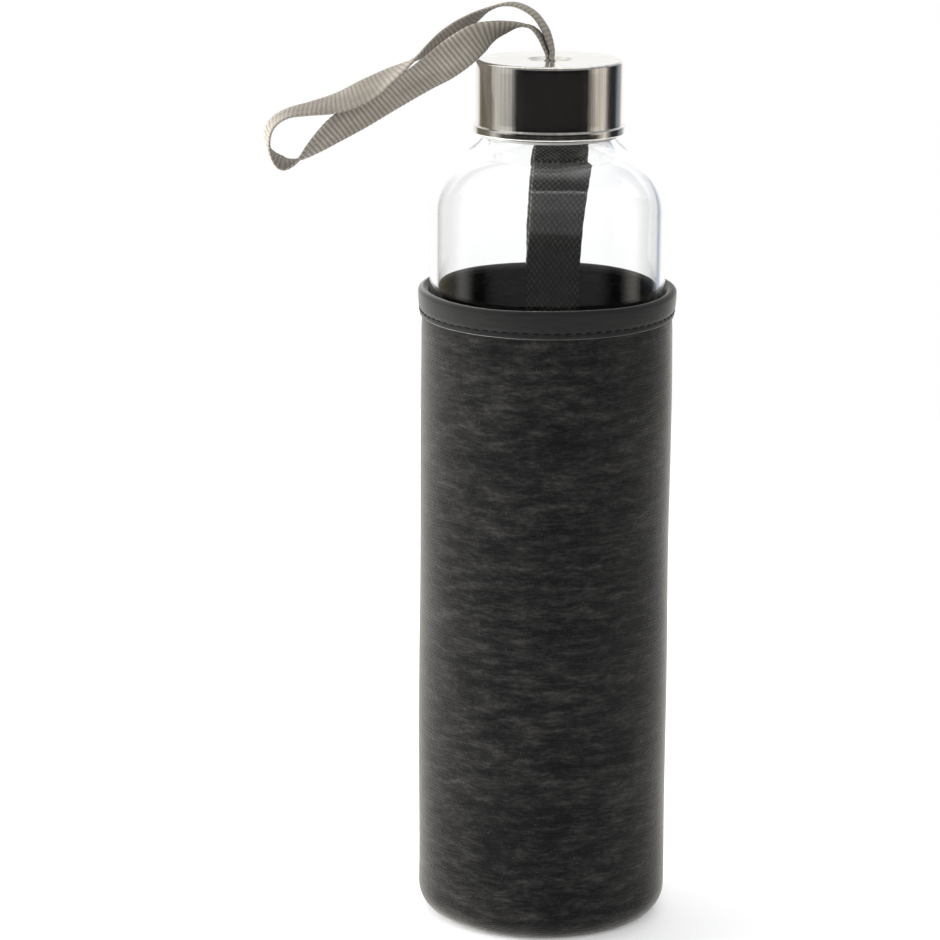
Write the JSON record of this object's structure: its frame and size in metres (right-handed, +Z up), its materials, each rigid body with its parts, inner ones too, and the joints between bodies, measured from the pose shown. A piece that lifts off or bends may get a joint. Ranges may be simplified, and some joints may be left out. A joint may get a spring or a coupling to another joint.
{
  "type": "sleeved glass water bottle",
  "caption": "Capped glass water bottle in a padded fabric sleeve, with a webbing carry strap on its steel screw cap and a hanging loop at the sleeve's rim.",
  "frame": {"origin": "middle of the sleeve's base, on the surface it stands on", "axes": "+Z up along the bottle, +Y towards the back where the hanging loop is, -X towards the carry strap's free end"},
  "size_m": [0.1127, 0.071, 0.2582],
  "materials": {
    "glass": "clear polished borosilicate",
    "steel": "bright, finely brushed upright on the skirt, polished on top",
    "liner_plastic": "satin moulded",
    "silicone": "soft matt silicone",
    "retainer_plastic": "moulded",
    "strap_webbing": "ribbed flat webbing, taupe grey",
    "sleeve_knit": "heathered dark grey knit over foam",
    "binding_fabric": "smooth dark grey rolled binding",
    "stitch_thread": "black sewing thread",
    "loop_webbing": "near-black fine webbing"
  },
  "bodies": {
    "sleeve": {"sleeve_body": "sleeve_knit", "sleeve_base": "sleeve_knit", "rim_binding": "binding_fabric", "rim_stitching": "stitch_thread", "rim_stitching_inner": "stitch_thread", "base_seam_stitching": "stitch_thread", "back_seam_stitching": "stitch_thread", "sleeve_loop_foot": "loop_webbing", "loop_bartack": "stitch_thread"},
    "hanging_loop": {"sleeve_loop": "loop_webbing"},
    "bottle": {"glass_bottle": "glass", "glass_neck": "glass"},
    "gasket": {"cap_gasket": "silicone"},
    "cap": {"cap_shell": "steel", "cap_liner": "liner_plastic", "strap_retainer": "retainer_plastic", "strap_root": "strap_webbing"},
    "strap": {"carry_strap": "strap_webbing"}
  },
  "joints": [
    {"name": "bottle_slide", "type": "slide", "parent": "sleeve", "child": "bottle", "axis": [0, 0, 1], "range_m": [0, 0.185]},
    {"name": "cap_rise", "type": "slide", "parent": "bottle", "child": "gasket", "axis": [0, 0, 1], "range_m": [0, 0.0081]},
    {"name": "cap_turn", "type": "hinge", "parent": "gasket", "child": "cap", "pos_m": [0, 0, 0.24], "axis": [0, 0, 1], "range_deg": [0, 720]},
    {"name": "strap_swing", "type": "hinge", "parent": "cap", "child": "strap", "pos_m": [0, 0, 0.2415], "axis": [0, 1, 0], "range_deg": [0, 90]},
    {"name": "loop_fold", "type": "hinge", "parent": "sleeve", "child": "hanging_loop", "pos_m": [0, 0.03402, 0.17772], "axis": [-1, 0, 0], "range_deg": [0, 140]}
  ],
  "couplings": [
    {"joint": "cap_rise", "follows": "cap_turn", "m_per_rad": 0.00063662}
  ]
}
